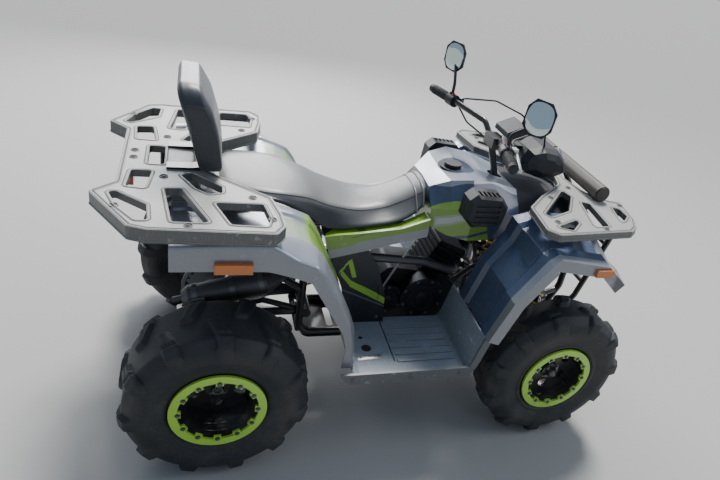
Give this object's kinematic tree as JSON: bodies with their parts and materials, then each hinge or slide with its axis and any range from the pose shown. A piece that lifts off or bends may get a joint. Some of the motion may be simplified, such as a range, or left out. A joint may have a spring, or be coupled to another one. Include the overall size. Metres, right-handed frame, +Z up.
{
  "type": "quad bike",
  "caption": "Utility quad bike with a one-seat saddle, backrest, flat load racks front and rear, lime-ringed wheels, handlebar steering and a chain-driven solid rear axle.",
  "frame": {"origin": "on the ground below the centre of the overall box, midway between the axles", "axes": "+X forward, +Y to the rider's left, +Z up"},
  "size_m": [1.8428, 1.072, 1.2559],
  "materials": {
    "frame_black": "semi-gloss powder coat",
    "rack_plastic": "fine grained, satin",
    "silver_body": "metallic silver",
    "black_plastic": "satin",
    "lime_metal": "gloss lime",
    "rubber_black": "matt",
    "grip_rubber": "matt",
    "vinyl_black": "satin vinyl",
    "engine_metal": "matt black paint",
    "steel": "zinc plated",
    "muffler_steel": "aluminised",
    "rim_black": "semi-gloss",
    "spring_yellow": "gloss yellow springs",
    "spring_white": "gloss white springs",
    "aluminium": "cast",
    "lens_orange": "clear orange",
    "lens_red": "clear red",
    "lens_clear": "clear",
    "tube_grey": "matt dark grey-brown"
  },
  "bodies": {
    "chassis": {"frame": "frame_black", "skid_plate": "frame_black", "engine": "engine_metal", "exhaust": "muffler_steel", "swing_arm": "frame_black", "rear_shock": "spring_white", "front_arms": "frame_black", "front_shocks": "spring_yellow", "front_rack": "rack_plastic", "rear_rack": "rack_plastic", "rack_posts": "frame_black", "front_bumper": "frame_black", "accessory_tube": "tube_grey", "front_fenders": "silver_body", "rear_fenders": "silver_body", "cowl": "silver_body", "fuel_cap": "black_plastic", "side_pods": "black_plastic", "front_cover": "black_plastic", "seat": "vinyl_black", "backrest": "vinyl_black", "backrest_bracket": "frame_black", "footwells": "black_plastic", "rear_signals": "lens_orange", "tail_lamp": "lens_red", "tow_hitch": "frame_black", "chain": "steel", "side_strips": "silver_body", "side_panels": "black_plastic", "step_trims": "silver_body", "front_signals": "lens_orange"},
    "steering": {"steering_column": "frame_black", "handlebar": "frame_black", "grips": "grip_rubber", "switch_blocks": "black_plastic", "levers": "aluminium", "mirrors": "black_plastic", "headlight_pod": "black_plastic", "headlight_lens": "lens_clear"},
    "rear_wheels": {"rear_axle": "steel", "sprocket": "steel", "rear_brake_disc": "steel", "rear_rims": "rim_black", "rear_bead_rings": "lime_metal", "rear_tyres": "rubber_black"},
    "knuckle_left": {"knuckle_left": "aluminium"},
    "front_wheel_left": {"front_tyre_left": "rubber_black", "front_rim_left": "rim_black", "front_bead_ring_left": "lime_metal"},
    "tie_rod_left": {"tie_rod_left": "steel"},
    "knuckle_right": {"knuckle_right": "aluminium"},
    "front_wheel_right": {"front_tyre_right": "rubber_black", "front_rim_right": "rim_black", "front_bead_ring_right": "lime_metal"},
    "tie_rod_right": {"tie_rod_right": "steel"}
  },
  "joints": [
    {"name": "steering_turn", "type": "hinge", "parent": "chassis", "child": "steering", "pos_m": [0.58561, 0, 0.3404], "axis": [-0.3486, 0, 0.9373], "range_deg": [-30, 30]},
    {"name": "knuckle_left_turn", "type": "hinge", "parent": "chassis", "child": "knuckle_left", "pos_m": [0.59, 0.375, 0.285], "axis": [0, 0, 1], "range_deg": [-30, 30]},
    {"name": "tie_rod_left_turn", "type": "hinge", "parent": "knuckle_left", "child": "tie_rod_left", "pos_m": [0.52, 0.399, 0.318], "axis": [0, 0, 1], "range_deg": [-30, 30]},
    {"name": "front_wheel_left_spin", "type": "hinge", "parent": "knuckle_left", "child": "front_wheel_left", "pos_m": [0.59, 0.43, 0.285], "axis": [0, 1, 0], "continuous": true},
    {"name": "knuckle_right_turn", "type": "hinge", "parent": "chassis", "child": "knuckle_right", "pos_m": [0.59, -0.375, 0.285], "axis": [0, 0, 1], "range_deg": [-30, 30]},
    {"name": "tie_rod_right_turn", "type": "hinge", "parent": "knuckle_right", "child": "tie_rod_right", "pos_m": [0.52, -0.399, 0.318], "axis": [0, 0, 1], "range_deg": [-30, 30]},
    {"name": "front_wheel_right_spin", "type": "hinge", "parent": "knuckle_right", "child": "front_wheel_right", "pos_m": [0.59, -0.43, 0.285], "axis": [0, 1, 0], "continuous": true},
    {"name": "rear_axle_spin", "type": "hinge", "parent": "chassis", "child": "rear_wheels", "pos_m": [-0.59, 0, 0.275], "axis": [0, 1, 0], "continuous": true}
  ],
  "couplings": [
    {"joint": "knuckle_left_turn", "follows": "steering_turn", "ratio": 1},
    {"joint": "tie_rod_left_turn", "follows": "steering_turn", "ratio": -1},
    {"joint": "knuckle_right_turn", "follows": "steering_turn", "ratio": 1},
    {"joint": "tie_rod_right_turn", "follows": "steering_turn", "ratio": -1}
  ]
}
